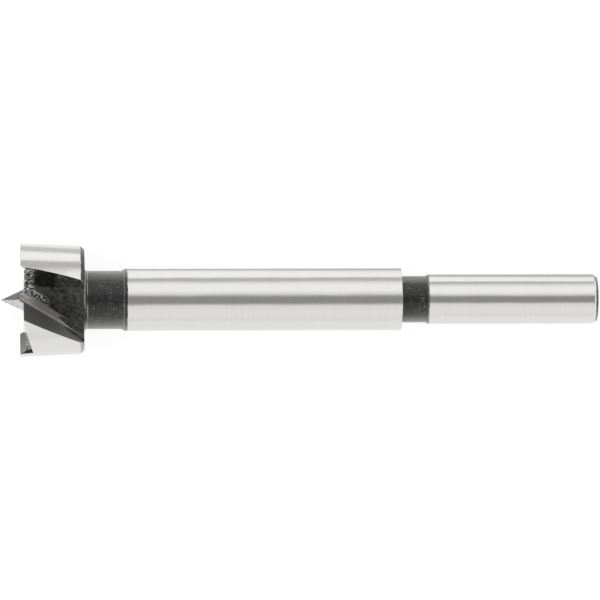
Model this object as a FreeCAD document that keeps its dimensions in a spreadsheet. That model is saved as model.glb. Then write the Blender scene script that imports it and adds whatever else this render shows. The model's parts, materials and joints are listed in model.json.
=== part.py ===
import FreeCAD, Part

import math
import os

import Sketcher
from FreeCAD import Placement, Rotation, Vector

# A centre-point cylinder bit with two lips and two scribing spurs, turned and ground from one bar.
# It is drawn on its own axis: X runs from the tip of the centre point to the end of the shank,
# and the first lip points along +Y. At the end the finished bit is laid on the table, where it
# rests on two corners of its head and on the rim of its shank. Lengths are millimetres.

NAME = "forstner_bit"

SIZES = [
    # turned lengths, from the tip back to the shank end
    ("point_length", 4.5, "tip to the flat front face and the lips"),
    ("spur_lead", 0.65, "how far the spurs stand ahead of the lips"),
    ("head_length", 12.85, "spur edge to the back face of the head"),
    ("neck_length", 8.0, "back of the head to the body"),
    ("body_length", 55.7, "ground cylinder between neck and waist"),
    ("waist_length", 5.4, "turned-down stretch before the shank"),
    ("shank_length", 34.2, "ground shank with its end bevel"),
    # diameters
    ("head_diameter", 22.9, "cutting diameter at the spurs"),
    ("head_back_diameter", 21.8, "head behind its back taper"),
    ("body_diameter", 12.5, "ground body"),
    ("neck_step", 0.4, "unground neck below the body's surface"),
    ("shank_diameter", 10.0, "standard chuck size"),
    ("waist_step", 0.325, "unground waist below the shank's surface"),
    # turned details
    ("head_bevel_length", 0.85, "bevel at the back of the head, along the axis"),
    ("head_bevel_depth", 0.75, "the same bevel, across the axis"),
    ("neck_root_radius", 0.6, "fillet between head and neck"),
    ("body_fillet_radius", 1.0, "fillet from the neck up to the body"),
    ("shank_fillet_radius", 0.7, "fillet from the waist up to the shank"),
    ("shank_bevel_length", 0.8, "end bevel, along the axis"),
    ("shank_bevel_depth", 0.6, "end bevel, across the axis"),
    # chip flutes: one closed outline at each end of the cut, seen from the front with the lip
    # pointing out; "out" is along the lip, "side" across it, towards the spur behind the lip
    ("flute_reach", 17.0, "radius of the outlines' outer corners"),
    ("front_station", 3.5, "where the front outline stands"),
    ("front_rake_out", 0.55, "floor's corner at the rake side, out"),
    ("front_rake_side", -2.2, "the same, side"),
    ("front_wall_out", 1.3, "floor's corner at the trailing wall, out"),
    ("front_wall_side", -3.9, "the same, side"),
    ("front_rake_turn", -1.0, "outer corner at the rake side, degrees from the lip"),
    ("front_wall_turn", -55.3, "outer corner at the trailing wall, degrees from the lip"),
    ("front_rake_radius", 0.5, "hollow at the rake side"),
    ("front_wall_radius", 1.3, "hollow at the trailing wall"),
    ("back_station", 19.0, "where the back outline stands"),
    ("back_rake_out", 4.5, "floor's corner at the rake side, out"),
    ("back_rake_side", 9.9, "the same, side"),
    ("back_wall_out", 7.9, "floor's corner at the trailing wall, out"),
    ("back_wall_side", -5.0, "the same, side"),
    ("back_rake_turn", 12.5, "outer corner at the rake side, degrees from the lip"),
    ("back_wall_turn", -47.0, "outer corner at the trailing wall, degrees from the lip"),
    ("back_rake_radius", 1.5, "hollow at the rake side"),
    ("back_wall_radius", 3.5, "hollow at the trailing wall"),
    # hollow behind each spur's edge
    ("spur_ring", 1.0, "radial width of the turned ring that the spurs are cut from"),
    ("spur_edge", 0.06, "flat left on the spur's edge"),
    ("spur_bevel_width", 0.88, "radial width of the bevel inside the spur"),
    ("recess_depth", 0.6, "foot of that bevel, behind the front face"),
    ("recess_width", 0.7, "radial run from the foot back up to the front face"),
    ("recess_turn", 87.0, "middle of the hollow, from the lip"),
    ("recess_span", 84.0, "its length round the axis"),
    # plane ground inside each spur; it falls from the next flute to the spur's leading wall
    ("valley_turn", 124.5, "direction of its upper edge, from the lip"),
    ("valley_angle", 10.5, "slope"),
    ("valley_span", 75.3, "turn from the upper edge back to the leading wall"),
    ("valley_clear", 8.0, "overrun into the flute, degrees"),
    # centre point
    ("point_reach", 2.15, "axis to an edge of the pyramid at its base"),
    ("point_flat", 0.06, "the same at the tip"),
    ("point_turn", 22.5, "turn of its edges from the lip"),
    ("point_seat", 0.6, "how deep the pyramid runs into the head"),
    # ground rake notch above each lip
    ("rake_slope", 0.49, "rake face: sideways run for each millimetre of depth"),
    ("notch_slope", 0.38, "notch floor: outward run for each millimetre of depth"),
    ("notch_start", 0.48, "notch floor at the lip, from the axis"),
    ("notch_width", 1.7, "width of the grinding wheel's land"),
    ("notch_radius", 0.6, "corner of the wheel"),
    ("notch_flare", 1.2, "slope of the wheel's side, sideways for each millimetre out"),
    ("notch_lead", 0.7, "run-in ahead of the lips"),
    ("notch_length", 18.0, "length of the ground stroke along the axis"),
    # relief behind each lip, up to the leading wall of the spur
    ("relief_angle", 13.0, "slope of the relief face"),
    ("relief_span", 49.5, "lip to the leading wall of the spur"),
    ("point_ledge", 0.15, "ledge left between the relief and the centre point"),
    ("cut_margin", 3.0, "how far a cut runs clear of the metal"),
    # rest on the table; angles in degrees
    ("rest_roll", 112.5, "turn about its axis, first guess"),
    ("rest_search", 10.0, "how far the rest is looked for on either side"),
]


def make_sheet(doc):
    sheet = doc.addObject("Spreadsheet::Sheet", "sizes")
    for row, (alias, value, note) in enumerate(SIZES, start=1):
        sheet.set("A%d" % row, alias)
        sheet.set("B%d" % row, str(value))
        sheet.set("C%d" % row, note)
        sheet.setAlias("B%d" % row, alias)
    doc.recompute()
    return sheet


def origin_plane(body, role):
    return next(item for item in body.Origin.OriginFeatures if item.Role == role)


def new_sketch(body, name, role):
    sketch = body.newObject("Sketcher::SketchObject", name)
    sketch.AttachmentSupport = [(origin_plane(body, role), "")]
    sketch.MapMode = "FlatFace"
    return sketch


def bind(sketch, kind, elements, formula, value):
    """Add one dimension to a sketch and tie it to the sheet."""
    index = sketch.addConstraint(Sketcher.Constraint(kind, *elements, value))
    sketch.setExpression("Constraints[%d]" % index, formula)


def place_point(sketch, geometry, end, right, up):
    """Hold a point at (right, up) from the sketch origin; each is a formula and its value now."""
    bind(sketch, "DistanceX", (-1, 1, geometry, end), *right)
    bind(sketch, "DistanceY", (-1, 1, geometry, end), *up)


def join_loop(sketch, edges, smooth=()):
    """Join each edge's end to the start of the next; the pairs in smooth are tangent there."""
    for index, (edge, tail, head) in enumerate(edges):
        following, next_tail, next_head = edges[(index + 1) % len(edges)]
        kind = "Tangent" if (edge, following) in smooth else "Coincident"
        sketch.addConstraint(Sketcher.Constraint(kind, edge, head, following, next_tail))


def line(start, end):
    return Part.LineSegment(Vector(*start, 0), Vector(*end, 0))


def arc(centre, radius, first, last):
    circle = Part.Circle(Vector(*centre, 0), Vector(0, 0, 1), radius)
    return Part.ArcOfCircle(circle, first, last)


def turned_blank(body, size):
    """Revolve the half section of the whole bit."""
    front = size["point_length"]
    spur = front - size["spur_lead"]
    back = spur + size["head_length"]
    body_start = back + size["neck_length"]
    body_end = body_start + size["body_length"]
    shank_start = body_end + size["waist_length"]
    end = shank_start + size["shank_length"]
    head = size["head_diameter"] / 2
    head_back = size["head_back_diameter"] / 2
    ground = size["body_diameter"] / 2
    neck = ground - size["neck_step"]
    shank = size["shank_diameter"] / 2
    waist = shank - size["waist_step"]
    ring = head - size["spur_ring"]
    root = size["neck_root_radius"]
    rise = size["body_fillet_radius"]
    shank_rise = size["shank_fillet_radius"]
    rise_run = math.sqrt(rise ** 2 - (rise - size["neck_step"]) ** 2)
    shank_run = math.sqrt(shank_rise ** 2 - (shank_rise - size["waist_step"]) ** 2)

    sketch = new_sketch(body, "half_section", "XY_Plane")
    down = -math.pi / 2
    outline = [
        line((front, 0), (front, ring)),
        line((front, ring), (spur, ring)),
        line((spur, ring), (spur, head)),
        line((spur, head), (back - size["head_bevel_length"], head_back)),
        line((back - size["head_bevel_length"], head_back), (back, head_back - size["head_bevel_depth"])),
        line((back, head_back - size["head_bevel_depth"]), (back, neck + root)),
        arc((back + root, neck + root), root, math.pi, 3 * math.pi / 2),
        line((back + root, neck), (body_start - rise_run, neck)),
        arc((body_start - rise_run, neck + rise), rise, down, down + math.asin(rise_run / rise)),
        line((body_start, ground), (body_end, ground)),
        line((body_end, ground), (body_end, waist)),
        line((body_end, waist), (shank_start - shank_run, waist)),
        arc((shank_start - shank_run, waist + shank_rise), shank_rise,
            down, down + math.asin(shank_run / shank_rise)),
        line((shank_start, shank), (end - size["shank_bevel_length"], shank)),
        line((end - size["shank_bevel_length"], shank), (end, shank - size["shank_bevel_depth"])),
        line((end, shank - size["shank_bevel_depth"]), (end, 0)),
        line((end, 0), (front, 0)),
    ]
    sketch.addGeometry(outline, False)
    (face, ring_step, ring_face, land, head_bevel, head_end, root_arc, neck_line, rise_arc, body_line,
     body_face, waist_line, shank_arc, shank_line, shank_bevel, shank_face, axis) = range(len(outline))
    smooth = [(head_end, root_arc), (root_arc, neck_line), (neck_line, rise_arc), (waist_line, shank_arc)]
    join_loop(sketch, [(index, 1, 2) for index in range(len(outline))], smooth)
    for edge in (face, ring_face, head_end, body_face, shank_face):
        sketch.addConstraint(Sketcher.Constraint("Vertical", edge))
    for edge in (ring_step, neck_line, body_line, waist_line, shank_line):
        sketch.addConstraint(Sketcher.Constraint("Horizontal", edge))
    for edge, point in ((axis, 1), (axis, 2)):
        sketch.addConstraint(Sketcher.Constraint("PointOnObject", edge, point, -1))

    along = [
        ((-1, 1, face, 1), "sizes.point_length", front),
        ((ring_step, 2, ring_step, 1), "sizes.spur_lead", size["spur_lead"]),
        ((ring_face, 2, head_bevel, 2), "sizes.head_length", size["head_length"]),
        ((head_bevel, 1, head_bevel, 2), "sizes.head_bevel_length", size["head_bevel_length"]),
        ((head_bevel, 2, body_line, 1), "sizes.neck_length", size["neck_length"]),
        ((body_line, 1, body_line, 2), "sizes.body_length", size["body_length"]),
        ((body_line, 2, shank_line, 1), "sizes.waist_length", size["waist_length"]),
        ((shank_line, 1, shank_bevel, 2), "sizes.shank_length", size["shank_length"]),
        ((shank_bevel, 1, shank_bevel, 2), "sizes.shank_bevel_length", size["shank_bevel_length"]),
    ]
    for elements, formula, value in along:
        bind(sketch, "DistanceX", elements, formula, value)
    across = [
        ((ring_face, 1, ring_face, 2), "sizes.spur_ring", size["spur_ring"]),
        ((-1, 1, ring_face, 2), "sizes.head_diameter / 2", head),
        ((-1, 1, land, 2), "sizes.head_back_diameter / 2", head_back),
        ((head_bevel, 2, head_bevel, 1), "sizes.head_bevel_depth", size["head_bevel_depth"]),
        ((-1, 1, body_line, 1), "sizes.body_diameter / 2", ground),
        ((neck_line, 1, body_line, 1), "sizes.neck_step", size["neck_step"]),
        ((-1, 1, shank_line, 1), "sizes.shank_diameter / 2", shank),
        ((waist_line, 1, shank_line, 1), "sizes.waist_step", size["waist_step"]),
        ((shank_bevel, 2, shank_bevel, 1), "sizes.shank_bevel_depth", size["shank_bevel_depth"]),
    ]
    for elements, formula, value in across:
        bind(sketch, "DistanceY", elements, formula, value)
    bind(sketch, "Radius", (root_arc,), "sizes.neck_root_radius", root)
    bind(sketch, "Radius", (rise_arc,), "sizes.body_fillet_radius", rise)
    bind(sketch, "Radius", (shank_arc,), "sizes.shank_fillet_radius", shank_rise)

    blank = body.newObject("PartDesign::Revolution", "turned_blank")
    blank.Profile = sketch
    blank.ReferenceAxis = (sketch, ["H_Axis"])
    blank.Angle = 360
    return blank


def polar(radius, degrees):
    return (radius * math.cos(math.radians(degrees)), radius * math.sin(math.radians(degrees)))


def round_corner(before, corner, after, radius):
    """Where a round corner touches its two lines, and its centre."""
    into = (Vector(*before, 0) - Vector(*corner, 0)).normalize()
    away = (Vector(*after, 0) - Vector(*corner, 0)).normalize()
    half = into.getAngle(away) / 2
    at = Vector(*corner, 0)
    centre = at + (into + away).normalize() * (radius / math.sin(half))
    reach = radius / math.tan(half)
    return at + into * reach, at + away * reach, centre


def flute_outline(body, size, where):
    """Draw one closed outline of the chip flute: rake side, floor and trailing wall."""
    def named(part):
        return size[where + part], "sizes." + where + part

    reach = size["flute_reach"]
    rake_turn, rake_turn_formula = named("_rake_turn")
    wall_turn, wall_turn_formula = named("_wall_turn")
    rake_out, rake_out_formula = named("_rake_out")
    rake_along, rake_along_formula = named("_rake_side")
    wall_out, wall_out_formula = named("_wall_out")
    wall_along, wall_along_formula = named("_wall_side")
    rake_radius, rake_formula = named("_rake_radius")
    wall_radius, wall_formula = named("_wall_radius")
    station, station_formula = named("_station")
    corners = [polar(reach, rake_turn), (rake_out, rake_along), (wall_out, wall_along),
               polar(reach, wall_turn)]
    rake_end, floor_start, rake_centre = round_corner(*corners[:3], rake_radius)
    floor_end, wall_start, wall_centre = round_corner(*corners[1:], wall_radius)

    def hollow(centre, radius, first, last):
        first_turn = math.atan2(first.y - centre.y, first.x - centre.x)
        last_turn = math.atan2(last.y - centre.y, last.x - centre.x)
        return arc((centre.x, centre.y), radius, first_turn, last_turn)

    sketch = new_sketch(body, where + "_outline", "YZ_Plane")
    sketch.AttachmentOffset = Placement(Vector(0, 0, station), Rotation())
    sketch.setExpression("AttachmentOffset.Base.z", station_formula)
    sketch.addGeometry([
        line(corners[0], (rake_end.x, rake_end.y)),
        hollow(rake_centre, rake_radius, rake_end, floor_start),
        line((floor_start.x, floor_start.y), (floor_end.x, floor_end.y)),
        hollow(wall_centre, wall_radius, floor_end, wall_start),
        line((wall_start.x, wall_start.y), corners[3]),
        line(corners[3], corners[0]),
    ], False)
    rake_side, rake_hollow, floor, wall_hollow, wall, closing = range(6)
    join_loop(sketch, [(index, 1, 2) for index in range(6)],
              [(rake_side, rake_hollow), (rake_hollow, floor), (floor, wall_hollow), (wall_hollow, wall)])
    bind(sketch, "Radius", (rake_hollow,), rake_formula, rake_radius)
    bind(sketch, "Radius", (wall_hollow,), wall_formula, wall_radius)

    for end, turn_formula, at in ((2, rake_turn_formula, corners[0]), (1, wall_turn_formula, corners[3])):
        place_point(sketch, closing, end,
                    ("sizes.flute_reach * cos(%s * 1 deg)" % turn_formula, at[0]),
                    ("sizes.flute_reach * sin(%s * 1 deg)" % turn_formula, at[1]))
    for edge, right, up in ((rake_side, (rake_out_formula, rake_out), (rake_along_formula, rake_along)),
                            (wall, (wall_out_formula, wall_out), (wall_along_formula, wall_along))):
        corner = sketch.addGeometry(Part.Point(Vector(right[1], up[1], 0)), True)
        for through in (edge, floor):
            sketch.addConstraint(Sketcher.Constraint("PointOnObject", corner, 1, through))
        place_point(sketch, corner, 1, right, up)
    return sketch


def repeat_opposite(body, feature):
    """Repeat a cut half a turn round the axis, for the second lip."""
    pair = body.newObject("PartDesign::PolarPattern", feature.Name + "_pair")
    pair.Originals = [feature]
    pair.Axis = (origin_plane(body, "X_Axis"), [""])
    pair.Angle = 360
    pair.Occurrences = 2
    body.Tip = pair
    return pair


def chip_flutes(body, size):
    """Cut the two hollows that open backwards from the lips and run out on the neck."""
    front = flute_outline(body, size, "front")
    back = flute_outline(body, size, "back")
    flute = body.newObject("PartDesign::SubtractiveLoft", "chip_flute")
    flute.Profile = front
    flute.Sections = [back]
    flute.Ruled = True
    return repeat_opposite(body, flute)


def square_outline(body, size, name, station, station_formula, reach, reach_formula):
    """Draw a square by its corners, turned from the lip."""
    sketch = new_sketch(body, name, "YZ_Plane")
    sketch.AttachmentOffset = Placement(Vector(0, 0, station), Rotation())
    sketch.setExpression("AttachmentOffset.Base.z", station_formula)
    corners = [polar(reach, 90 * index - size["point_turn"]) for index in range(4)]
    sketch.addGeometry([line(corners[index], corners[(index + 1) % 4]) for index in range(4)], False)
    join_loop(sketch, [(index, 1, 2) for index in range(4)])
    for index, (right, up) in enumerate(corners):
        turn = "(%d - sizes.point_turn) * 1 deg" % (90 * index)
        place_point(sketch, index, 1,
                    ("%s * cos(%s)" % (reach_formula, turn), right),
                    ("%s * sin(%s)" % (reach_formula, turn), up))
    return sketch


def centre_point(body, size):
    """Raise the four-sided centre point from the front face."""
    length = size["point_length"]
    seat = size["point_seat"]
    flat = size["point_flat"]
    spread = (size["point_reach"] - flat) / length
    spread_formula = "(sizes.point_reach - sizes.point_flat) / sizes.point_length"
    tip = square_outline(body, size, "point_tip", 0, "0", flat, "sizes.point_flat")
    base = square_outline(body, size, "point_base", length + seat,
                          "sizes.point_length + sizes.point_seat", flat + spread * (length + seat),
                          "(sizes.point_flat + %s * (sizes.point_length + sizes.point_seat))"
                          % spread_formula)
    point = body.newObject("PartDesign::AdditiveLoft", "centre_point")
    point.Profile = base
    point.Sections = [tip]
    point.Ruled = True
    return point


def rake_notches(body, size):
    """Grind the rake face above each lip with a round-cornered wheel fed backwards and outwards."""
    lead = size["notch_lead"]
    floor = size["notch_start"] - size["notch_slope"] * lead
    rake = -size["rake_slope"] * lead
    radius = size["notch_radius"]
    far = size["head_diameter"] / 2 + size["cut_margin"]
    low = rake - size["notch_width"]
    flared = low - size["notch_flare"] * (far - floor)
    sketch = new_sketch(body, "wheel_section", "YZ_Plane")
    sketch.AttachmentOffset = Placement(Vector(0, 0, size["point_length"] - lead), Rotation())
    sketch.setExpression("AttachmentOffset.Base.z", "sizes.point_length - sizes.notch_lead")
    sketch.addGeometry([
        line((far, rake), (floor + radius, rake)),
        arc((floor + radius, rake - radius), radius, math.pi / 2, math.pi),
        line((floor, rake - radius), (floor, low)),
        line((floor, low), (far, flared)),
        line((far, flared), (far, rake)),
    ], False)
    rake_edge, corner, floor_edge, flare_edge, far_edge = range(5)
    join_loop(sketch, [(index, 1, 2) for index in range(5)],
              [(rake_edge, corner), (corner, floor_edge)])
    sketch.addConstraint(Sketcher.Constraint("Horizontal", rake_edge))
    for edge in (floor_edge, far_edge):
        sketch.addConstraint(Sketcher.Constraint("Vertical", edge))
    bind(sketch, "Radius", (corner,), "sizes.notch_radius", radius)
    place_point(sketch, far_edge, 2,
                ("sizes.head_diameter / 2 + sizes.cut_margin", far),
                ("-sizes.rake_slope * sizes.notch_lead", rake))
    bind(sketch, "DistanceX", (-1, 1, floor_edge, 1),
         "sizes.notch_start - sizes.notch_slope * sizes.notch_lead", floor)
    bind(sketch, "DistanceY", (floor_edge, 2, far_edge, 2), "sizes.notch_width", size["notch_width"])
    bind(sketch, "DistanceY", (flare_edge, 2, flare_edge, 1),
         "sizes.notch_flare * (sizes.head_diameter / 2 + sizes.cut_margin - sizes.notch_start"
         " + sizes.notch_slope * sizes.notch_lead)", low - flared)

    notch = body.newObject("PartDesign::Pocket", "rake_notch")
    notch.Profile = sketch
    notch.UseCustomVector = True
    notch.Direction = Vector(1, size["notch_slope"], size["rake_slope"])
    notch.setExpression("Direction.y", "sizes.notch_slope")
    notch.setExpression("Direction.z", "sizes.rake_slope")
    notch.AlongSketchNormal = True
    notch.Length = size["notch_length"]
    notch.setExpression("Length", "sizes.notch_length")
    return repeat_opposite(body, notch)


def lip_reliefs(body, size):
    """Grind the sloping face behind each lip, back to the leading wall of the spur."""
    far = size["head_diameter"] / 2 + size["cut_margin"]
    near = size["point_reach"] + size["point_ledge"]
    lead_corner = polar(near, -size["point_turn"])
    side_corner = polar(near, 90 - size["point_turn"])
    at_rim = polar(far, size["relief_span"])
    sketch = new_sketch(body, "relief_outline", "YZ_Plane")
    tilt = Rotation(Vector(1, 0, 0), size["relief_angle"])
    sketch.AttachmentOffset = Placement(Vector(0, 0, size["point_length"]), tilt)
    sketch.setExpression("AttachmentOffset.Base.z", "sizes.point_length")
    sketch.setExpression("AttachmentOffset.Rotation.Angle", "sizes.relief_angle * 1 deg")
    sketch.addGeometry([
        line(lead_corner, (far, lead_corner[1])),
        line((far, lead_corner[1]), at_rim),
        line(at_rim, side_corner),
        line(side_corner, lead_corner),
    ], False)
    lip, rim, spur_wall, point_side = range(4)
    join_loop(sketch, [(index, 1, 2) for index in range(4)])
    sketch.addConstraint(Sketcher.Constraint("Horizontal", lip))
    reach = "(sizes.head_diameter / 2 + sizes.cut_margin)"
    beside = "(sizes.point_reach + sizes.point_ledge)"
    bind(sketch, "DistanceX", (-1, 1, rim, 1), reach, far)
    for edge, radius, turn, at in (
            (lip, beside, "-sizes.point_turn * 1 deg", lead_corner),
            (spur_wall, reach, "sizes.relief_span * 1 deg", at_rim),
            (point_side, beside, "(90 - sizes.point_turn) * 1 deg", side_corner)):
        place_point(sketch, edge, 1,
                    ("%s * cos(%s)" % (radius, turn), at[0]), ("%s * sin(%s)" % (radius, turn), at[1]))

    relief = body.newObject("PartDesign::Pocket", "lip_relief")
    relief.Profile = sketch
    relief.Length = size["cut_margin"] + size["spur_lead"]
    relief.setExpression("Length", "sizes.cut_margin + sizes.spur_lead")
    return repeat_opposite(body, relief)


def spur_valleys(body, size):
    """Grind the sloping plane inside each spur, from the next flute down to the leading wall."""
    upper = body.newObject("PartDesign::Plane", "valley_direction")
    upper.AttachmentSupport = [(origin_plane(body, "YZ_Plane"), "")]
    upper.MapMode = "FlatFace"
    upper.AttachmentOffset = Placement(Vector(), Rotation(Vector(0, 0, 1), size["valley_turn"]))
    upper.setExpression("AttachmentOffset.Rotation.Angle", "sizes.valley_turn * 1 deg")

    sketch = body.newObject("Sketcher::SketchObject", "valley_outline")
    sketch.AttachmentSupport = [(upper, "")]
    sketch.MapMode = "FlatFace"
    tilt = Rotation(Vector(-1, 0, 0), size["valley_angle"])
    sketch.AttachmentOffset = Placement(Vector(0, 0, size["point_length"]), tilt)
    sketch.setExpression("AttachmentOffset.Base.z", "sizes.point_length")
    sketch.setExpression("AttachmentOffset.Rotation.Angle", "sizes.valley_angle * 1 deg")

    reach = size["head_diameter"] / 2 - size["spur_edge"] - size["spur_bevel_width"]
    reach_formula = "(sizes.head_diameter / 2 - sizes.spur_edge - sizes.spur_bevel_width)"
    near = size["point_reach"] + size["point_ledge"]
    near_formula = "(sizes.point_reach + sizes.point_ledge)"
    leading = polar(reach, -size["valley_span"])
    trailing = polar(reach, size["valley_clear"])
    first_corner = polar(near, 90 - size["point_turn"] - size["valley_turn"])
    second_corner = polar(near, 180 - size["point_turn"] - size["valley_turn"])
    sketch.addGeometry([
        arc((0, 0), reach, math.radians(-size["valley_span"]), math.radians(size["valley_clear"])),
        line(trailing, second_corner),
        line(second_corner, first_corner),
        line(first_corner, leading),
    ], False)
    join_loop(sketch, [(index, 1, 2) for index in range(4)])
    rim, point_side, spur_wall = 0, 2, 3
    sketch.addConstraint(Sketcher.Constraint("Coincident", rim, 3, -1, 1))
    place_point(sketch, rim, 1,
                (reach_formula + " * cos(sizes.valley_span * 1 deg)", leading[0]),
                ("-" + reach_formula + " * sin(sizes.valley_span * 1 deg)", leading[1]))
    bind(sketch, "DistanceY", (-1, 1, rim, 2),
         reach_formula + " * sin(sizes.valley_clear * 1 deg)", trailing[1])
    for edge, quarter, at in ((spur_wall, 90, first_corner), (point_side, 180, second_corner)):
        turn = "(%d - sizes.point_turn - sizes.valley_turn) * 1 deg" % quarter
        place_point(sketch, edge, 1,
                    ("%s * cos(%s)" % (near_formula, turn), at[0]),
                    ("%s * sin(%s)" % (near_formula, turn), at[1]))

    valley = body.newObject("PartDesign::Pocket", "spur_valley")
    valley.Profile = sketch
    valley.Length = size["cut_margin"] + size["spur_lead"]
    valley.setExpression("Length", "sizes.cut_margin + sizes.spur_lead")
    return repeat_opposite(body, valley)


def spur_hollows(body, size):
    """Turn the hollow inside each spur, so that the ring ends in a bevelled edge."""
    front = size["point_length"]
    spur = front - size["spur_lead"]
    clear = spur - size["spur_lead"]
    edge = size["head_diameter"] / 2 - size["spur_edge"]
    foot = (front + size["recess_depth"], edge - size["spur_bevel_width"])
    inner = foot[1] - size["recess_width"]
    bevel_top = edge + (spur - clear) * size["spur_bevel_width"] / (foot[0] - spur)
    inner_top = inner - (front - clear) * size["recess_width"] / size["recess_depth"]

    sketch = new_sketch(body, "hollow_section", "XY_Plane")
    turn = Rotation(Vector(1, 0, 0), size["recess_turn"])
    sketch.AttachmentOffset = Placement(Vector(0, 0, 0), turn)
    sketch.setExpression("AttachmentOffset.Rotation.Angle", "sizes.recess_turn * 1 deg")
    sketch.addGeometry([
        line((clear, bevel_top), foot),
        line(foot, (clear, inner_top)),
        line((clear, inner_top), (clear, bevel_top)),
    ], False)
    bevel, recess, opening = range(3)
    join_loop(sketch, [(index, 1, 2) for index in range(3)])
    sketch.addConstraint(Sketcher.Constraint("Vertical", opening))
    bind(sketch, "DistanceX", (-1, 1, opening, 1), "sizes.point_length - 2 * sizes.spur_lead", clear)
    place_point(sketch, bevel, 2,
                ("sizes.point_length + sizes.recess_depth", foot[0]),
                ("sizes.head_diameter / 2 - sizes.spur_edge - sizes.spur_bevel_width", foot[1]))
    for slope, along, across in (
            (bevel, ("sizes.point_length - sizes.spur_lead", spur),
             ("sizes.head_diameter / 2 - sizes.spur_edge", edge)),
            (recess, ("sizes.point_length", front),
             ("sizes.head_diameter / 2 - sizes.spur_edge - sizes.spur_bevel_width - sizes.recess_width",
              inner))):
        passed = sketch.addGeometry(Part.Point(Vector(along[1], across[1], 0)), True)
        sketch.addConstraint(Sketcher.Constraint("PointOnObject", passed, 1, slope))
        place_point(sketch, passed, 1, along, across)

    hollow = body.newObject("PartDesign::Groove", "spur_hollow")
    hollow.Profile = sketch
    hollow.ReferenceAxis = (sketch, ["H_Axis"])
    hollow.Midplane = True
    hollow.Angle = size["recess_span"]
    hollow.setExpression("Angle", "sizes.recess_span * 1 deg")
    return repeat_opposite(body, hollow)


def resting_placement(shape, size):
    """Lay the bit down with one chip flute underneath.

    It touches the table with the rim of its shank and with the corners of its head beside that
    flute. Its centre of mass is on its axis, so it comes to rest at the roll in which the line
    from the rim to the lowest corner is the least steep.
    """
    back = size["point_length"] - size["spur_lead"] + size["head_length"]
    end = back + size["neck_length"] + size["body_length"] + size["waist_length"] + size["shank_length"]
    rim = size["shank_diameter"] / 2
    rim_at = end - size["shank_bevel_length"]
    corners = [vertex.Point for vertex in shape.Vertexes if vertex.Point.x < back]

    def slope(roll):
        turn = Rotation(Vector(1, 0, 0), roll)
        return max((-turn.multVec(point).z - rim) / (rim_at - point.x) for point in corners)

    low = size["rest_roll"] - size["rest_search"]
    high = size["rest_roll"] + size["rest_search"]
    while high - low > 0.0001:
        third = (high - low) / 3
        if slope(low + third) < slope(high - third):
            high -= third
        else:
            low += third
    roll = (low + high) / 2
    pitch = math.atan(slope(roll))
    print("rests at roll %.3f and pitch %.3f degrees" % (roll, math.degrees(pitch)))

    turned = Rotation(Vector(0, 1, 0), math.degrees(pitch)).multiply(Rotation(Vector(1, 0, 0), roll))
    table = -rim_at * math.sin(pitch) - rim * math.cos(pitch)
    box = shape.transformed(Placement(Vector(), turned).toMatrix(), True).optimalBoundingBox(False)
    return Placement(Vector(-box.Center.x, -box.Center.y, -table), turned)


def checked(doc, feature, last_volume, adds):
    """Recompute and make sure that a feature is sound and has added or cut metal."""
    doc.recompute()
    for item in doc.Objects:
        if "Invalid" in item.State or "Error" in item.State:
            raise RuntimeError("%s failed: %s" % (item.Name, item.State))
    shape = feature.Shape
    if shape.isNull() or not shape.isValid() or len(shape.Solids) != 1:
        raise RuntimeError("%s is not one sound solid" % feature.Name)
    change = shape.Volume - last_volume
    if (change > 0) != adds:
        raise RuntimeError("%s changed the volume by %.3f" % (feature.Name, change))
    print("%-16s %9.2f mm3" % (feature.Name, shape.Volume))
    return shape.Volume


def main():
    os.makedirs("parts", exist_ok=True)
    doc = FreeCAD.newDocument("bit")
    make_sheet(doc)
    size = {alias: value for alias, value, note in SIZES}
    body = doc.addObject("PartDesign::Body", NAME)
    body.Label = NAME
    doc.recompute()

    volume = checked(doc, turned_blank(body, size), 0, True)
    volume = checked(doc, chip_flutes(body, size), volume, False)
    volume = checked(doc, centre_point(body, size), volume, True)
    volume = checked(doc, rake_notches(body, size), volume, False)
    volume = checked(doc, lip_reliefs(body, size), volume, False)
    volume = checked(doc, spur_valleys(body, size), volume, False)
    checked(doc, spur_hollows(body, size), volume, False)
    body.Placement = resting_placement(body.Shape, size)
    doc.recompute()
    body.Shape.exportStep("parts/%s.step" % NAME)


main()
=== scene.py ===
import json
import math

import bpy
from bpy.props import FloatProperty, FloatVectorProperty, PointerProperty
from bpy.types import Operator, Panel, PropertyGroup
from mathutils import Matrix, Vector


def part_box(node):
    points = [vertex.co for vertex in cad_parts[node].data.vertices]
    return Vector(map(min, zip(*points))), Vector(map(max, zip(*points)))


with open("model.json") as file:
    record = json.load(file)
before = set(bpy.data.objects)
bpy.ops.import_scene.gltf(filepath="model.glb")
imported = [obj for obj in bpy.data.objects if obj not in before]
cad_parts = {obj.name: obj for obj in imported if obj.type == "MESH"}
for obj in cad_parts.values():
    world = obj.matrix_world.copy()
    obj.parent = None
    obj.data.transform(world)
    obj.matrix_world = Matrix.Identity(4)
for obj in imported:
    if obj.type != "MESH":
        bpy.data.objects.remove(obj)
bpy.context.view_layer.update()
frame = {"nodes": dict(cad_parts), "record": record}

bl_info = {
    "name": "Forstner bit",
    "version": (1, 0, 0),
    "blender": (4, 5, 0),
    "location": "View3D > Sidebar > Forstner Bit",
    "description": "Finishes a lying forstner bit in ground and black steel and sets its stage",
    "category": "Object",
}

BIT = "forstner_bit"

# Where one finish gives way to the next, in millimetres along the bit from its tip.
HEAD_FRONT = 3.85
LIPS = 4.5
BACK_BEVEL = 15.9
HEAD_BACK = 16.69
SEAM = (17.27, 17.37)
NECK = (16.68, 25.33)
WAIST = (80.55, 85.95)
END_BEVEL = 119.55

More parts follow.
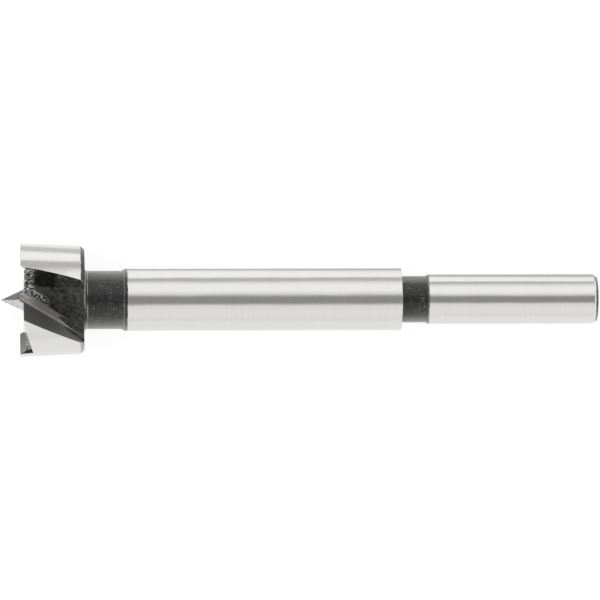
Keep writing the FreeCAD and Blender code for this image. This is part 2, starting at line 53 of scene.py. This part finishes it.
# In millimetres from the axis.
HEAD_RADIUS = 11.45
RIM_WIDTH = 0.13
POINT_RADIUS = 2.35
PITTED_RADIUS = (3.0, 3.5)
SPUR_RADIUS = 9.5
VALLEY_RADIUS = 8.2
NECK_ROOT_RADIUS = 7.25

# Slopes of the head's faces, in millimetres across for each millimetre along.
BACK_TAPER = 0.55 / 12
RAKE_SLOPE = 0.49
FLOOR_SLOPE = 0.38
LAND_SLOPE = 2.36

# Across the notch behind a lip, in millimetres from its rake face or from its floor.
FACE_DEPTH = 0.06
FLOOR_START = 0.48
CORNER_WIDTH = 0.62
CORNER_HEIGHT = 0.5
NOTCH_WIDTH = 1.74

# Black and broken places in the flutes: SIDE and WIDTH are past the lip and past the rake face, DEPTH is
# behind the lip. Those of the wall, the valley and the chipped place run from full to nothing.
WALL_SIDE = (-4.6, -3.9)
WALL_DEPTH = (5.6, 7.2)
VALLEY_DEPTH = (3.0, 4.0)
CHIPPED_SIDE = (-2.2, -1.2)
CHIPPED_DEPTH = (1.6, 2.4)
TORN_WIDTH = (-4.0, -1.8)
TORN_DEPTH = (1.6, 5.0)

# How far a face turns to the shank end, 1, or to the tip, -1.
FLUTE_FACING = 0.55
FRONT_FACING = -0.5
SPUR_FACING = (-0.75, -0.35)

# Of the high cards and of the lamps from the middle of the bit, in metres.
CARD_DISTANCE = 0.6
LAMP_DISTANCE = 1.3

FLOAT = "NodeSocketFloat"
VECTOR = "NodeSocketVector"


def mount(name):
    """Place and direction of one of the bit's mounts, in the row frame."""
    found = next(item for item in frame["record"]["mounts"] if item["name"] == name)
    return Vector(found["pos_m"]), Vector(found["axis"]).normalized()


def bit_tip():
    """The tip of the centre point: where the bit's axis reaches the left side of its box."""
    place, axis = mount("shank")
    return place + axis * ((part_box(BIT)[0][0] - place.x) / axis.x)


def tint(colour, factor=1.0):
    """A colour for a socket, made lighter or darker by a factor."""
    return (*[factor * part for part in colour], 1)


class BitFinish(PropertyGroup):
    """Colours and textures of the steel."""

    ground_colour: FloatVectorProperty(
        name="Ground steel", description="Reflection colour of the ground surfaces",
        subtype="COLOR", size=3, min=0, max=1, default=(0.7, 0.695, 0.683))
    scale_colour: FloatVectorProperty(
        name="Black scale", description="Colour of the unground, blackened surfaces",
        subtype="COLOR", size=3, min=0, max=1, default=(0.006, 0.006, 0.0056))
    fleck_colour: FloatVectorProperty(
        name="Flecks", description="Colour of the bright flecks and turning lines in the black scale",
        subtype="COLOR", size=3, min=0, max=1, default=(0.17, 0.168, 0.16))
    # Painted sheen: the colour that the black scale is paled towards where it turns away from the eye.
    painted_sheen_colour: FloatVectorProperty(
        name="Scale sheen", description="Colour of the black scale where it turns away from the eye",
        subtype="COLOR", size=3, min=0, max=1, default=(0.28, 0.278, 0.271))
    notch_colour: FloatVectorProperty(
        name="Rake faces", description="Colour of the dull rake faces, ground through the scale",
        subtype="COLOR", size=3, min=0, max=1, default=(0.1, 0.098, 0.088))
    strip_colour: FloatVectorProperty(
        name="Notch floors", description="Colour of the floors of the rake notches",
        subtype="COLOR", size=3, min=0, max=1, default=(0.33, 0.325, 0.295))
    spur_colour: FloatVectorProperty(
        name="Spur bevels", description="Reflection colour of the bevels inside the spurs",
        subtype="COLOR", size=3, min=0, max=1, default=(0.2, 0.2, 0.195))
    pit_colour: FloatVectorProperty(
        name="Pits", description="Reflection colour of the pits in the centre point",
        subtype="COLOR", size=3, min=0, max=1, default=(0.3, 0.3, 0.29))
    ground_roughness: FloatProperty(
        name="Ground roughness", description="Roughness between two grinding lines",
        subtype="FACTOR", min=0, max=1, default=0.17)
    scale_roughness: FloatProperty(
        name="Scale roughness", description="Mean roughness of the black scale",
        subtype="FACTOR", min=0, max=1, default=0.32)
    line_pitch: FloatProperty(
        name="Grinding line pitch", description="Mean distance between grinding lines",
        subtype="DISTANCE", unit="LENGTH", min=0.00002, max=0.002, default=0.00016)
    roll: FloatProperty(
        name="Roll", description="Turn of the first lip about the axis, from straight towards +Y",
        subtype="ANGLE", unit="ROTATION", default=math.radians(110.657))
    edge_width: FloatProperty(
        name="Edge width", description="Width of the honed line along sharp edges",
        subtype="DISTANCE", unit="LENGTH", min=0, max=0.001, default=0.00012)


class BitStage(PropertyGroup):
    """Table, cards, lamps and camera."""

    camera_height: FloatProperty(
        name="Camera height", description="Camera above the table",
        subtype="DISTANCE", unit="LENGTH", min=0.3, max=5, default=1.25)
    view_width: FloatProperty(
        name="View width", description="Width of the picture at the height of the bit's axis",
        subtype="DISTANCE", unit="LENGTH", min=0.05, max=1, default=0.1205)
    view_shift: FloatProperty(
        name="View shift", description="Camera's distance from the bit's axis, towards +Y",
        subtype="DISTANCE", unit="LENGTH", min=-1, max=1, default=-0.0001)
    view_turn: FloatProperty(
        name="View turn", description="Turn of the camera about the line of sight",
        subtype="ANGLE", unit="ROTATION", default=math.radians(-0.13))
    floor_colour: FloatVectorProperty(
        name="Table", description="Colour of the table",
        subtype="COLOR", size=3, min=0, max=1, default=(0.85, 0.85, 0.85))
    card_colour: FloatVectorProperty(
        name="Grey cards", description="Colour of the cards that put the dark bands on the steel",
        subtype="COLOR", size=3, min=0, max=1, default=(0.52, 0.52, 0.52))


class Nodes:
    """Short calls for making and joining nodes in one tree."""

    def __init__(self, tree):
        self.tree = tree

    def add(self, kind, **settings):
        node = self.tree.nodes.new(kind)
        for key, value in settings.items():
            setattr(node, key, value)
        return node

    def feed(self, socket, value):
        """Link a socket, or set a plain value."""
        if isinstance(value, bpy.types.NodeSocket):
            self.tree.links.new(value, socket)
        else:
            socket.default_value = value

    def fill(self, node, values):
        """Feed a node's inputs by name or by number; returns its outputs."""
        for key, value in values.items():
            self.feed(node.inputs[key], value)
        return node.outputs

    def math(self, operation, *values, clamp=False):
        node = self.add("ShaderNodeMath", operation=operation, use_clamp=clamp)
        return self.fill(node, dict(enumerate(values)))[0]

    def product(self, first, *others):
        """Values multiplied: for masks, what they have in common."""
        for value in others:
            first = self.math("MULTIPLY", first, value)
        return first

    def largest(self, first, *others):
        """Several masks in one."""
        for value in others:
            first = self.math("MAXIMUM", first, value)
        return first

    def without(self, mask, taken):
        """A mask less what another one takes from it."""
        return self.math("MULTIPLY", mask, self.math("SUBTRACT", 1.0, taken))

    def above(self, value, limit):
        return self.math("GREATER_THAN", value, limit)

    def below(self, value, limit):
        return self.math("LESS_THAN", value, limit)

    def stretch(self, vector, factors):
        node = self.add("ShaderNodeVectorMath", operation="MULTIPLY")
        return self.fill(node, {0: vector, 1: factors})[0]

    def dot(self, first, second):
        node = self.add("ShaderNodeVectorMath", operation="DOT_PRODUCT")
        return self.fill(node, {0: first, 1: second})["Value"]

    def ramp(self, value, low, high, bottom=0.0, top=1.0):
        """A smooth step from bottom, at low, to top, at high."""
        node = self.add("ShaderNodeMapRange", interpolation_type="SMOOTHSTEP")
        return self.fill(node, dict(enumerate((value, low, high, bottom, top))))[0]

    def before(self, value, low, high):
        """Mask that is 1 up to low and falls to 0 at high."""
        return self.ramp(value, low, high, 1.0, 0.0)

    def between(self, value, low, high, soft):
        """Mask that is 1 from low to high, with soft ends."""
        return self.product(self.ramp(value, low - soft, low + soft),
                            self.before(value, high - soft, high + soft))

    def mix(self, factor, first, second):
        node = self.add("ShaderNodeMix", data_type="RGBA")
        return self.fill(node, {0: factor, 6: first, 7: second})[2]

    def blend(self, factor, first, second):
        node = self.add("ShaderNodeMix", data_type="FLOAT")
        return self.fill(node, {0: factor, 2: first, 3: second})[0]

    def noise(self, vector, scale, detail=2.0, roughness=0.5):
        node = self.add("ShaderNodeTexNoise")
        return self.fill(node, {"Vector": vector, "Scale": scale, "Detail": detail,
                                "Roughness": roughness})["Fac"]

    def bump(self, strength, distance, height, normal):
        node = self.add("ShaderNodeBump")
        return self.fill(node, {"Strength": strength, "Distance": distance, "Height": height,
                                "Normal": normal})[0]

    def diffuse(self, colour):
        return self.fill(self.add("ShaderNodeBsdfDiffuse"), {"Color": colour})[0]

    def choose(self, factor, first, second):
        """The first shader, and the second where the factor is 1."""
        return self.fill(self.add("ShaderNodeMixShader"), {0: factor, 1: first, 2: second})[0]


def new_material(name):
    """A material with an empty node tree; returns it and its nodes."""
    material = bpy.data.materials.new(name)
    material.use_nodes = True
    material.node_tree.nodes.clear()
    return material, Nodes(material.node_tree)


def show(nodes, shader):
    """Put a shader on the material's surface."""
    nodes.feed(nodes.add("ShaderNodeOutputMaterial").inputs["Surface"], shader)


def new_group(name, inputs, outputs):
    """A shader node group with named sockets; returns it, its nodes, and its two ends."""
    group = bpy.data.node_groups.new(name, "ShaderNodeTree")
    for label, kind in inputs.items():
        group.interface.new_socket(label, in_out="INPUT", socket_type=kind)
    for label, kind in outputs.items():
        group.interface.new_socket(label, in_out="OUTPUT", socket_type=kind)
    nodes = Nodes(group)
    return group, nodes, nodes.add("NodeGroupInput").outputs, nodes.add("NodeGroupOutput")


def place_group(nodes, group, values):
    """Put a group in a tree and join its inputs by name."""
    return nodes.fill(nodes.add("ShaderNodeGroup", node_tree=group), values)


def bit_coordinates(roll):
    """Group: a point of the surface on the bit's own axis, in millimetres.

    Along runs from the tip to the shank end, Out points along the first lip and Side past it.
    Facing is 1 where the surface faces the shank end, and -1 where it faces the tip.
    """
    group, nodes, _, out = new_group(
        "bit_coordinates", {},
        {"Along": FLOAT, "Out": FLOAT, "Side": FLOAT, "Radius": FLOAT, "Point": VECTOR, "Facing": FLOAT})
    _, axis = mount("shank")
    across = Vector((0, math.cos(roll), math.sin(roll)))
    across = (across - axis * across.dot(axis)).normalized()
    place = nodes.add("ShaderNodeTexCoord").outputs["Object"]
    from_tip = nodes.add("ShaderNodeVectorMath", operation="SUBTRACT")
    here = nodes.stretch(nodes.fill(from_tip, {0: place, 1: tuple(bit_tip())})[0], (1000, 1000, 1000))
    along, outward, side = [nodes.dot(here, tuple(direction))
                            for direction in (axis, across, axis.cross(across))]
    square = nodes.math("ADD", nodes.product(outward, outward), nodes.product(side, side))
    point = nodes.add("ShaderNodeCombineXYZ")
    normal = nodes.add("ShaderNodeNewGeometry").outputs["True Normal"]
    nodes.fill(out, {
        "Along": along,
        "Out": outward,
        "Side": side,
        "Radius": nodes.math("SQRT", square),
        "Point": nodes.fill(point, {0: along, 1: outward, 2: side})[0],
        "Facing": nodes.dot(normal, tuple(axis)),
    })
    return group


def finish_zones():
    """Group: masks of the black scale and of the finishes on the cutter head.

    Scale is black, Rake and Strip are the rake faces and the notch floors, Bevel is the bevels inside
    the spurs, and Tip is the centre point. Milled and Wall divide the flutes by how black they are, and
    Rough holds their chipped and torn places.
    """
    group, nodes, given, out = new_group(
        "finish_zones",
        {"Along": FLOAT, "Out": FLOAT, "Side": FLOAT, "Radius": FLOAT, "Facing": FLOAT, "Point": VECTOR},
        {"Scale": FLOAT, "Rake": FLOAT, "Strip": FLOAT, "Bevel": FLOAT, "Milled": FLOAT, "Wall": FLOAT,
         "Rough": FLOAT, "Tip": FLOAT})
    along, radius, facing = given["Along"], given["Radius"], given["Facing"]
    depth = nodes.math("SUBTRACT", along, LIPS)
    reach = nodes.math("ABSOLUTE", given["Out"])
    turned = nodes.product(given["Side"], nodes.math("SIGN", given["Out"]))

    head = nodes.before(along, HEAD_BACK - 0.03, HEAD_BACK + 0.03)
    rim = nodes.math("MULTIPLY_ADD", along, -BACK_TAPER, HEAD_RADIUS + BACK_TAPER * HEAD_FRONT - RIM_WIDTH)
    inside = nodes.product(nodes.below(radius, rim), nodes.below(facing, FLUTE_FACING))
    point = nodes.product(nodes.before(radius, POINT_RADIUS - 0.05, POINT_RADIUS + 0.05),
                          nodes.before(along, LIPS - 0.1, LIPS))
    bright = nodes.largest(nodes.below(facing, FRONT_FACING), point)
    flute = nodes.without(nodes.product(head, inside), bright)

    over_rake = nodes.math("MULTIPLY_ADD", depth, -RAKE_SLOPE, turned)
    over_floor = nodes.math("SUBTRACT", reach, nodes.math("MULTIPLY_ADD", depth, FLOOR_SLOPE, FLOOR_START))
    rake = nodes.product(flute, nodes.before(nodes.math("ABSOLUTE", over_rake), FACE_DEPTH, 0.1))
    corner = nodes.product(nodes.between(over_rake, -CORNER_WIDTH, FACE_DEPTH, 0.02),
                           nodes.between(over_floor, -FACE_DEPTH, CORNER_HEIGHT, 0.1))
    floor = nodes.product(nodes.between(over_rake, -NOTCH_WIDTH, FACE_DEPTH, 0.02),
                          nodes.between(over_floor, -FACE_DEPTH, FACE_DEPTH, 0.02))
    strip = nodes.product(flute, nodes.largest(corner, floor))

    wall = nodes.product(nodes.before(turned, *WALL_SIDE), nodes.before(depth, *WALL_DEPTH))
    valley = nodes.product(nodes.above(radius, VALLEY_RADIUS), nodes.before(depth, *VALLEY_DEPTH))
    dark = nodes.largest(wall, valley)
    chipped = nodes.product(nodes.before(turned, *CHIPPED_SIDE), nodes.before(depth, *CHIPPED_DEPTH))
    torn = nodes.product(nodes.between(over_rake, *TORN_WIDTH, 0.2), nodes.between(depth, *TORN_DEPTH, 0.4))

    # The scale ends in ragged lines, and is partly worn off the back bevel past each lip.
    ragged = nodes.math("MULTIPLY_ADD", nodes.noise(given["Point"], 1.4), 0.3, -0.15)
    loose = nodes.math("ADD", along, ragged)
    past_lip = nodes.math("MULTIPLY_ADD", reach, LAND_SLOPE, nodes.product(turned, -1.0))
    bare = nodes.product(nodes.ramp(turned, 0.0, 1.5), nodes.ramp(past_lip, -0.5, 0.5, 0.0, 0.55))
    bevel = nodes.without(nodes.ramp(loose, BACK_BEVEL - 0.05, BACK_BEVEL + 0.05), bare)
    scale = nodes.largest(flute, nodes.product(head, bevel), nodes.between(loose, *NECK, 0.04),
                          nodes.between(loose, *WAIST, 0.05),
                          nodes.ramp(loose, END_BEVEL - 0.05, END_BEVEL + 0.05))
    seam = nodes.product(nodes.between(along, *SEAM, 0.03),
                         nodes.ramp(nodes.noise(given["Point"], 0.5), 0.35, 0.6, 0.1, 0.7))

    nodes.fill(out, {
        "Scale": nodes.math("SUBTRACT", scale, nodes.largest(rake, strip, seam), clamp=True),
        "Rake": nodes.math("SUBTRACT", rake, strip, clamp=True),
        "Strip": strip,
        "Bevel": nodes.product(nodes.between(facing, *SPUR_FACING, 0.02), nodes.above(radius, SPUR_RADIUS)),
        "Milled": nodes.without(flute, dark),
        "Wall": nodes.product(flute, dark),
        "Rough": nodes.product(flute, nodes.largest(chipped, torn)),
        "Tip": nodes.product(nodes.before(along, LIPS - 0.2, LIPS), nodes.before(radius, *PITTED_RADIUS)),
    })
    return group


def grinding_lines(pitch):
    """Group: fine lines round the axis and long shallow waves, as values about 0.5."""
    group, nodes, given, out = new_group("grinding_lines", {"Point": VECTOR},
                                         {"Lines": FLOAT, "Waves": FLOAT})
    round_axis = nodes.stretch(given["Point"], (1.0, 0.012, 0.012))
    drawn_out = nodes.stretch(given["Point"], (0.09, 0.28, 0.28))
    nodes.fill(out, {
        "Lines": nodes.noise(round_axis, 0.001 / pitch, 3.0, 0.65),
        "Waves": nodes.noise(drawn_out, 1.0, 1.0),
    })
    return group


def black_scale():
    """Group: mottling, bright specks, rims of chipped patches and height of the blackened skin."""
    group, nodes, given, out = new_group(
        "black_scale", {"Point": VECTOR},
        {"Mottle": FLOAT, "Specks": FLOAT, "Chips": FLOAT, "Height": FLOAT})
    point = given["Point"]
    mottle = nodes.noise(point, 0.9, 4.0, 0.6)
    grain = nodes.noise(point, 6.0, 3.0, 0.6)
    streaks = nodes.noise(nodes.stretch(point, (0.4, 1.6, 1.6)), 2.2, 3.0, 0.6)
    turning = nodes.noise(nodes.stretch(point, (1.0, 0.03, 0.03)), 2.6, 3.0, 0.7)
    skin = nodes.math("MULTIPLY_ADD", grain, 0.5, nodes.product(mottle, 0.8))
    nodes.fill(out, {
        "Mottle": mottle,
        "Specks": nodes.largest(nodes.ramp(streaks, 0.57, 0.66), nodes.ramp(turning, 0.6, 0.68, 0.0, 0.5)),
        "Chips": nodes.between(nodes.noise(point, 1.2, 1.0), 0.49, 0.57, 0.02),
        "Height": nodes.math("MULTIPLY_ADD", turning, 1.2, skin),
    })
    return group


def bright_colour(nodes, finish, here, zones, lines, chips):
    """Colour of the ground steel, with the pitted point, the spurs' bevels and the notch floors."""
    shade = nodes.mix(nodes.ramp(lines, 0.3, 0.75), tint(finish.ground_colour, 0.96),
                      tint(finish.ground_colour))
    pitted = nodes.product(zones["Tip"], nodes.ramp(chips, 0.0, 1.0, 0.2, 0.5))
    shade = nodes.mix(pitted, shade, tint(finish.pit_colour))
    shade = nodes.mix(zones["Bevel"], shade, tint(finish.spur_colour))
    strip = nodes.mix(nodes.ramp(here["Along"], 5.0, 8.0), tint(finish.strip_colour, 1.45),
                      tint(finish.strip_colour))
    return nodes.mix(zones["Strip"], shade, strip)


def black_colour(nodes, finish, here, zones, scale):
    """Colour of the black scale: mottled, with painted light in patches on the flute floors, flecked, and
    with a painted sheen behind the head where it turns away from the eye.
    """
    black = finish.scale_colour
    shade = nodes.mix(nodes.ramp(scale["Mottle"], 0.35, 0.7), tint(black), tint(black, 2.4))
    # Painted light: the milled flute floors, but not the black wall and valley, are made lighter in mottled
    # patches.
    painted_floor_light = nodes.product(zones["Milled"], nodes.ramp(scale["Mottle"], 0.4, 0.62, 0.25, 1.0))
    shade = nodes.mix(painted_floor_light, shade, tint(black, 11))
    shade = nodes.mix(nodes.product(scale["Specks"], 0.7), shade, tint(finish.fleck_colour))
    # Painted sheen: behind the head, the narrow black parts are paled through the Layer Weight where they
    # turn away from the eye.
    narrow = nodes.before(here["Radius"], NECK_ROOT_RADIUS - 0.25, NECK_ROOT_RADIUS + 0.25)
    behind_head = nodes.ramp(here["Along"], HEAD_BACK - 0.1, HEAD_BACK + 0.1)
    painted_sheen_mask = nodes.ramp(nodes.add("ShaderNodeLayerWeight").outputs["Facing"], 0.05, 0.75)
    return nodes.mix(nodes.product(narrow, behind_head, painted_sheen_mask), shade, tint(finish.painted_sheen_colour))


def bit_steel(finish):
    """The bit's steel: ground bright, black where it was left unground, dull in the rake notches."""
    material, nodes = new_material("bit_steel")
    here = place_group(nodes, bit_coordinates(finish.roll), {})
    zones = place_group(nodes, finish_zones(), {
        label: here[label] for label in ("Along", "Out", "Side", "Radius", "Facing", "Point")})
    grinding = place_group(nodes, grinding_lines(finish.line_pitch), {"Point": here["Point"]})
    scale = place_group(nodes, black_scale(), {"Point": here["Point"]})
    lines = grinding["Lines"]

    edge = nodes.add("ShaderNodeBevel", samples=8)
    rounded = nodes.fill(edge, {"Radius": finish.edge_width})[0]
    plain = nodes.add("ShaderNodeNewGeometry").outputs["Normal"]
    honed = nodes.before(nodes.dot(rounded, plain), 0.9, 0.99)
    chips = nodes.product(zones["Rough"], scale["Chips"])
    black_part = nodes.without(nodes.math("SUBTRACT", zones["Scale"], chips, clamp=True), honed)
    rake_part = nodes.without(zones["Rake"], honed)

    rake = nodes.mix(nodes.ramp(here["Along"], 9.0, 14.0), tint(finish.notch_colour),
                     tint(finish.notch_colour, 2.0))
    shade = bright_colour(nodes, finish, here, zones, lines, scale["Chips"])
    shade = nodes.mix(rake_part, shade, rake)
    shade = nodes.mix(black_part, shade, black_colour(nodes, finish, here, zones, scale))

    # The grinding lines vary the roughness; notch floors, spur bevels and rake faces are duller.
    rough = nodes.math("MULTIPLY_ADD", lines, 0.12, finish.ground_roughness - 0.06)
    rough = nodes.math("MULTIPLY_ADD", nodes.largest(zones["Strip"], zones["Bevel"]), 0.2, rough)
    rough = nodes.math("MULTIPLY_ADD", zones["Rake"], 0.4, rough)
    black_rough = nodes.math("MULTIPLY_ADD", scale["Mottle"], 0.3, finish.scale_roughness - 0.15)

    # Scale is no metal, but its darkest walls mirror the black round them; dull faces are mostly matt.
    oxide = nodes.product(black_part, nodes.math("MULTIPLY_ADD", zones["Wall"], -0.7, 1.0))
    matt = nodes.product(nodes.largest(rake_part, zones["Strip"], chips), 0.8)
    metal = nodes.math("SUBTRACT", nodes.math("SUBTRACT", 1.0, oxide), matt, clamp=True)

    height = nodes.blend(black_part, nodes.product(lines, 0.3), scale["Height"])
    waves = nodes.bump(1.0, 0.00006, grinding["Waves"], rounded)
    show(nodes, nodes.fill(nodes.add("ShaderNodeBsdfPrincipled"), {
        "Base Color": shade,
        "Roughness": nodes.blend(black_part, rough, black_rough),
        "Metallic": metal,
        "Normal": nodes.bump(0.25, 0.00003, height, waves),
        "IOR": 1.5,
        "Sheen Weight": 0.22,
        "Sheen Roughness": 0.3,
    })[0])
    return material


class FORSTNER_OT_finish_bit(Operator):
    """Give the bit its ground, black and notch finishes"""

    bl_idname = "forstner.finish_bit"
    bl_label = "Finish the bit"

    def execute(self, context):
        node = frame["nodes"].get(BIT)
        if node is None:
            raise RuntimeError("the frame has no bit")
        material = bit_steel(context.scene.bit_finish)
        node.data.materials.clear()
        node.data.materials.append(material)
        return {"FINISHED"}


def shown_white(nodes):
    """1 on rays from the camera, from gloss and through glass."""
    path = nodes.add("ShaderNodeLightPath").outputs
    return nodes.largest(path["Is Camera Ray"], path["Is Glossy Ray"], path["Is Transmission Ray"])


def add_sheet(name, length, width, place, material):
    """A flat rectangular sheet of the stage, in its own XY plane."""
    mesh = bpy.data.meshes.new(name)
    x, y = length / 2, width / 2
    mesh.from_pydata([(-x, -y, 0), (x, -y, 0), (x, y, 0), (-x, y, 0)], [], [(0, 1, 2, 3)])
    mesh.materials.append(material)
    sheet = bpy.data.objects.new(name, mesh)
    sheet.matrix_world = place
    bpy.context.scene.collection.objects.link(sheet)
    return sheet


def add_floor(colour):
    """A white table that keeps a soft shadow; its glow, for the camera and in reflections, is painted
    dimmer next to the bit and brighter from 12 to 30 mm towards +Y.
    """
    material, nodes = new_material("white_table")
    place = nodes.add("ShaderNodeSeparateXYZ")
    nodes.feed(place.inputs[0], nodes.add("ShaderNodeTexCoord").outputs["Object"])
    # Painted light and shade: the table's glow rises from next to the bit to 30 mm away towards +Y.
    glow = nodes.fill(nodes.add("ShaderNodeEmission"), {
        "Strength": nodes.ramp(place.outputs["Y"], 0.012, 0.03, 0.8, 0.97)})[0]
    shadowed = nodes.diffuse((0.36, 0.36, 0.36, 1))
    seen = nodes.fill(nodes.add("ShaderNodeAddShader"), {0: shadowed, 1: glow})[0]
    show(nodes, nodes.choose(shown_white(nodes), nodes.diffuse(tint(colour)), seen))
    add_sheet("white_table", 6, 6, Matrix.Identity(4), material)


def card_material(name, colour, density):
    """Grey card that thins out towards its long edges."""
    material, nodes = new_material(name)
    place = nodes.add("ShaderNodeSeparateXYZ")
    nodes.feed(place.inputs[0], nodes.add("ShaderNodeTexCoord").outputs["Generated"])
    across = place.outputs["Y"]
    cover = nodes.product(nodes.ramp(across, 0.0, 0.28), nodes.ramp(across, 0.72, 1.0, density, 0.0))
    clear = nodes.add("ShaderNodeBsdfTransparent").outputs[0]
    show(nodes, nodes.choose(cover, clear, nodes.diffuse(colour)))
    return material


def add_card(name, length, width, place, material):
    """A grey card that is kept out of the picture, so that only its reflection shows."""
    card = add_sheet(name, length, width, place, material)
    card.visible_camera = False
    card.visible_diffuse = False
    card.visible_shadow = False


def add_high_card(name, first, last, length, slant, material):
    """A card along X, high over the bit, between two angles from straight up, towards +Y."""
    middle = math.radians(first + last) / 2
    width = 2 * CARD_DISTANCE * math.tan(math.radians(last - first) / 2)
    place = (Matrix.Translation((0, CARD_DISTANCE * math.sin(middle), CARD_DISTANCE * math.cos(middle)))
             @ Matrix.Rotation(-middle, 4, "X") @ Matrix.Rotation(math.radians(slant), 4, "Z"))
    add_card(name, length, width, place, material)


def add_softbox(name, angle, power):
    """A large soft lamp turned towards the bit, at an angle from straight up, towards +Y."""
    lamp = bpy.data.lights.new(name, "AREA")
    lamp.shape = "RECTANGLE"
    lamp.size = 2.0
    lamp.size_y = 0.8
    lamp.energy = power
    box = bpy.data.objects.new(name, lamp)
    lean = math.radians(angle)
    box.matrix_world = (
        Matrix.Translation((0, LAMP_DISTANCE * math.sin(lean), LAMP_DISTANCE * math.cos(lean)))
        @ Matrix.Rotation(-lean, 4, "X"))
    box.visible_camera = False
    bpy.context.scene.collection.objects.link(box)


def light_world():
    """A white tent round the bit."""
    world = bpy.data.worlds.new("white_tent")
    world.use_nodes = True
    world.node_tree.nodes.clear()
    nodes = Nodes(world.node_tree)
    glow = nodes.fill(nodes.add("ShaderNodeBackground"), {
        "Color": (1, 1, 1, 1), "Strength": nodes.ramp(shown_white(nodes), 0.0, 1.0, 0.75, 1.0)})
    nodes.feed(nodes.add("ShaderNodeOutputWorld").inputs["Surface"], glow[0])
    bpy.context.scene.world = world


def add_camera(stage):
    """Look straight down at the bit, from far away."""
    lens = bpy.data.cameras.new("camera")
    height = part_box(BIT)[1][2] / 2
    lens.lens = lens.sensor_width * (stage.camera_height - height) / stage.view_width
    lens.clip_end = 20
    camera = bpy.data.objects.new("camera", lens)
    camera.location = (0, stage.view_shift, stage.camera_height)
    camera.rotation_euler = (0, 0, stage.view_turn)
    bpy.context.scene.collection.objects.link(camera)
    bpy.context.scene.camera = camera


class FORSTNER_OT_set_stage(Operator):
    """Set the table, the cards, the lamps and the camera"""

    bl_idname = "forstner.set_stage"
    bl_label = "Set the stage"

    def execute(self, context):
        stage = context.scene.bit_stage
        context.scene.view_settings.view_transform = "Standard"
        add_floor(stage.floor_colour)
        dense = card_material("dense_card", tint(stage.card_colour), 1.0)
        thin = card_material("thin_card", tint(stage.card_colour), 0.6)
        dark = card_material("dark_card", tint(stage.card_colour, 0.7), 1.0)
        add_high_card("overhead_card", -24, 22, 2.4, 0, dense)
        add_high_card("side_card", 67, 90, 0.6, 25, thin)
        # Painted shadow: two grey cards on the table, seen only in reflections, darken the table next to
        # the bit and its head.
        add_card("painted_shadow_card", 0.105, 0.012, Matrix.Translation((0.017, 0.01, 0.0006)), thin)
        add_card("painted_head_shadow_card", 0.05, 0.024, Matrix.Translation((-0.06, 0.03, 0.0006)), thin)
        stand = (Matrix.Translation((-0.088, 0.047, 0.008)) @ Matrix.Rotation(math.radians(26), 4, "Z")
                 @ Matrix.Rotation(math.radians(90), 4, "X"))
        add_card("point_card", 0.06, 0.03, stand, dark)
        add_softbox("far_softbox", 45, 1.0)
        add_softbox("near_softbox", -50, 0.2)
        light_world()
        add_camera(stage)
        return {"FINISHED"}


class FORSTNER_PT_bit(Panel):
    """Builds and settings of the bit"""

    bl_idname = "FORSTNER_PT_bit"
    bl_label = "Forstner Bit"
    bl_space_type = "VIEW_3D"
    bl_region_type = "UI"
    bl_category = "Forstner Bit"

    def draw(self, context):
        scene = context.scene
        for settings, kind, operator in (
                (scene.bit_finish, BitFinish, FORSTNER_OT_finish_bit),
                (scene.bit_stage, BitStage, FORSTNER_OT_set_stage)):
            box = self.layout.box()
            for name in kind.__annotations__:
                box.prop(settings, name)
            box.operator(operator.bl_idname)


CLASSES = (BitFinish, BitStage, FORSTNER_OT_finish_bit, FORSTNER_OT_set_stage, FORSTNER_PT_bit)


def register():
    for item in CLASSES:
        bpy.utils.register_class(item)
    bpy.types.Scene.bit_finish = PointerProperty(type=BitFinish)
    bpy.types.Scene.bit_stage = PointerProperty(type=BitStage)


def unregister():
    del bpy.types.Scene.bit_stage
    del bpy.types.Scene.bit_finish
    for item in reversed(CLASSES):
        bpy.utils.unregister_class(item)


def main():
    register()
    bpy.ops.forstner.finish_bit()
    bpy.ops.forstner.set_stage()


if __name__ == "__main__":
    main()
